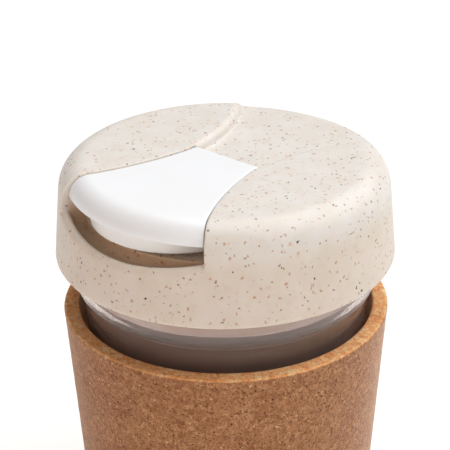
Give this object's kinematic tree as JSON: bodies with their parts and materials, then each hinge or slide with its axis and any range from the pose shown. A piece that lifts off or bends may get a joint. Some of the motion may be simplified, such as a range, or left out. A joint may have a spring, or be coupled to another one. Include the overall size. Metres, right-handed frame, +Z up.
{
  "type": "reusable drinking cup",
  "caption": "Rigid glass drinking cup in a thick cork sleeve, closed by a domed speckled lid with a flip-up flap over a drinking lip.",
  "frame": {"origin": "middle of the base, on the surface that the cup stands on", "axes": "+Z up along the cup's axis, -Y towards the drinking lip, +X to the left of a person drinking"},
  "size_m": [0.0938, 0.0938, 0.138],
  "materials": {
    "cork": "turned and sanded agglomerated cork",
    "cork_disc": "sawn agglomerated cork, coarser grain",
    "clear_glass": "pressed borosilicate glass, fire polished",
    "fibre_plastic": "injection moulded plastic with plant fibre, satin, fine brown specks",
    "liner_plastic": "moulded, satin",
    "flap_plastic": "moulded white polypropylene, satin",
    "tray_plastic": "moulded white polypropylene, satin",
    "silicone": "moulded translucent silicone, matt"
  },
  "bodies": {
    "sleeve": {"cork_sleeve": "cork", "cork_base": "cork_disc"},
    "cup": {"glass_cup": "clear_glass"},
    "lid": {"lid_shell": "fibre_plastic", "lid_liner": "liner_plastic", "lid_seal": "silicone"},
    "flap": {"flap_cover": "flap_plastic", "flap_tray": "tray_plastic", "drink_stopper": "silicone", "vent_plug": "silicone"}
  },
  "joints": [
    {"name": "cup_lift", "type": "slide", "parent": "sleeve", "child": "cup", "axis": [0, 0, 1], "range_m": [0, 0.1]},
    {"name": "lid_lift", "type": "slide", "parent": "cup", "child": "lid", "axis": [0, 0, 1], "range_m": [0, 0.03]},
    {"name": "flap_hinge", "type": "hinge", "parent": "lid", "child": "flap", "pos_m": [0, 0.0005, 0.13655], "axis": [-1, 0, 0], "range_deg": [0, 160]}
  ]
}
